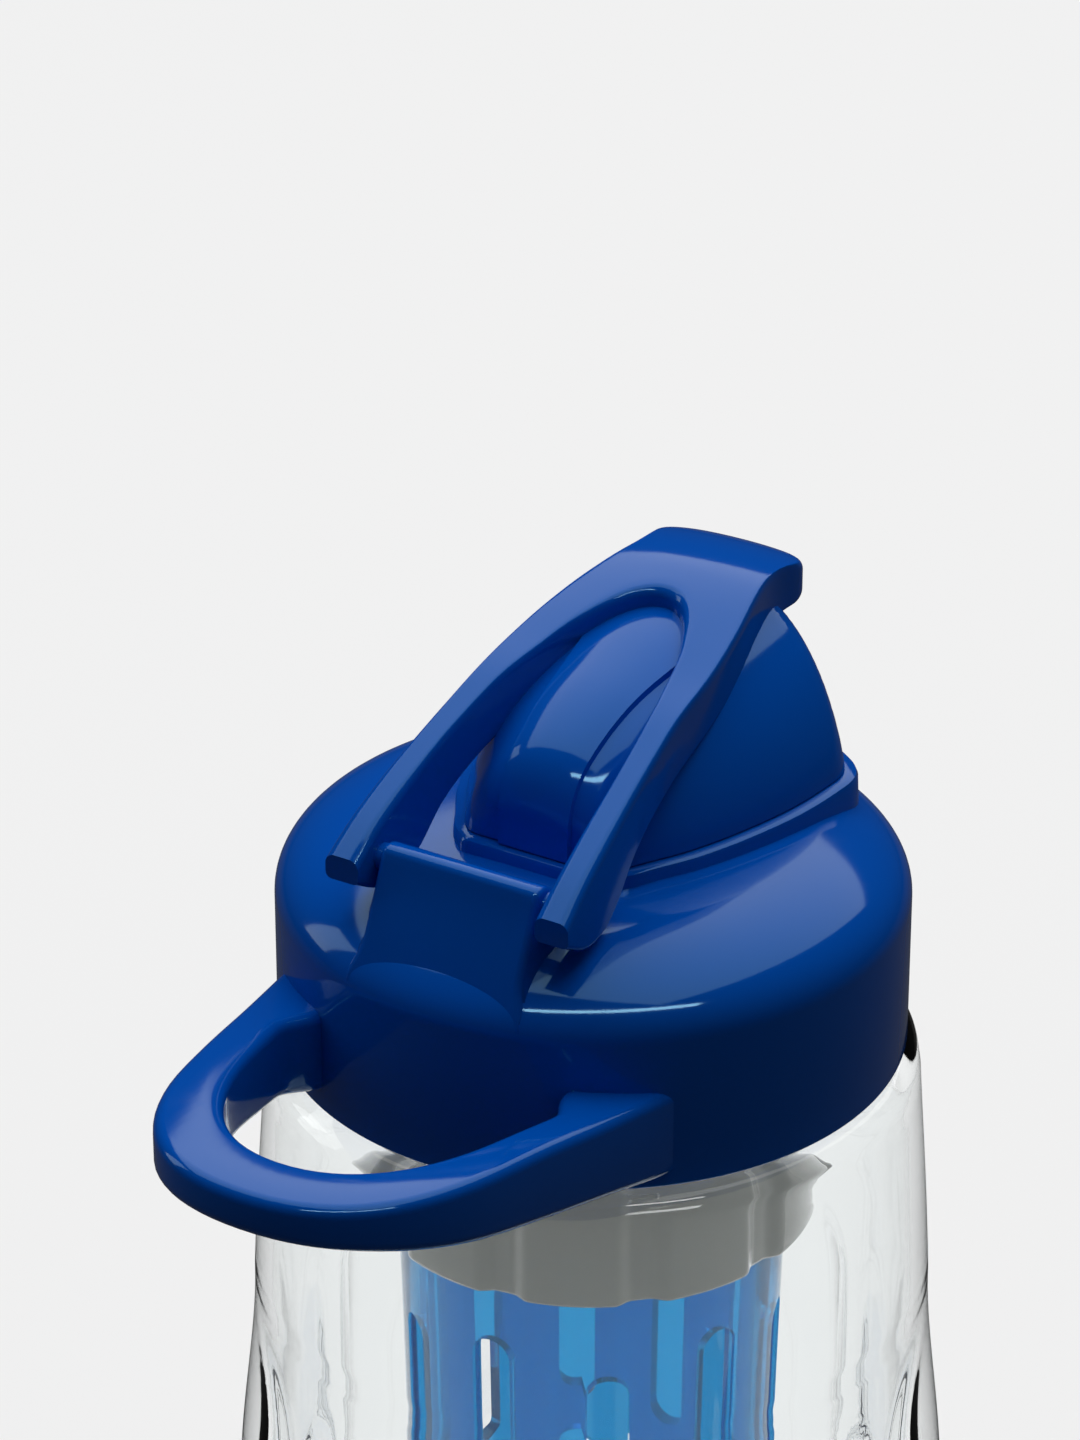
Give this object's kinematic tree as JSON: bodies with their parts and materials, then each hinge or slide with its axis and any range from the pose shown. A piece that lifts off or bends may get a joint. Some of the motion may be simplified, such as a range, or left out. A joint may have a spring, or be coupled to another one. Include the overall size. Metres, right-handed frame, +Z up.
{
  "type": "sports bottle",
  "caption": "Tall clear drinks bottle with grip pads, a screw lid with a carry loop and hinged flip cover, and a long slotted fruit infuser hanging inside.",
  "frame": {"origin": "centre of the bottle's flat base, on its axis", "axes": "+Z up along the bottle's axis, -Y towards the hinge and the carry loop, +X to the right of them"},
  "size_m": [0.0786, 0.1075, 0.2339],
  "materials": {
    "clear_plastic": "clear, polished",
    "blue_plastic": "glossy",
    "tinted_plastic": "clear blue tint, polished",
    "grey_plastic": "smoky, glossy",
    "white_plastic": "satin",
    "soft_clear": "soft, milky"
  },
  "bodies": {
    "bottle": {"bottle_body": "clear_plastic"},
    "lid_seal": {"lid_gasket": "soft_clear"},
    "lid": {"lid_shell": "blue_plastic", "mouthpiece": "soft_clear", "mouthpiece_clip": "white_plastic", "vent_valve": "soft_clear"},
    "cover": {"spout_cover": "blue_plastic", "cover_seal": "soft_clear"},
    "infuser_seal": {"infuser_gasket": "soft_clear"},
    "infuser": {"infuser_ring": "grey_plastic", "infuser_screen": "grey_plastic", "infuser_basket": "tinted_plastic"}
  },
  "joints": [
    {"name": "lid_lift", "type": "slide", "parent": "bottle", "child": "lid_seal", "axis": [0, 0, 1], "range_m": [0, 0.175]},
    {"name": "lid_turn", "type": "hinge", "parent": "lid_seal", "child": "lid", "pos_m": [0, 0, 0.2], "axis": [0, 0, 1], "range_deg": [0, 450]},
    {"name": "cover_flip", "type": "hinge", "parent": "lid", "child": "cover", "pos_m": [0, -0.0249, 0.2174], "axis": [1, 0, 0], "range_deg": [0, 135]},
    {"name": "infuser_drop", "type": "slide", "parent": "lid", "child": "infuser_seal", "axis": [0, 0, -1], "range_m": [0, 0.009]},
    {"name": "infuser_turn", "type": "hinge", "parent": "infuser_seal", "child": "infuser", "pos_m": [0, 0, 0.18], "axis": [0, 0, -1], "range_deg": [0, 450]}
  ],
  "couplings": [
    {"joint": "infuser_drop", "follows": "infuser_turn", "m_per_rad": 0.0011459}
  ]
}
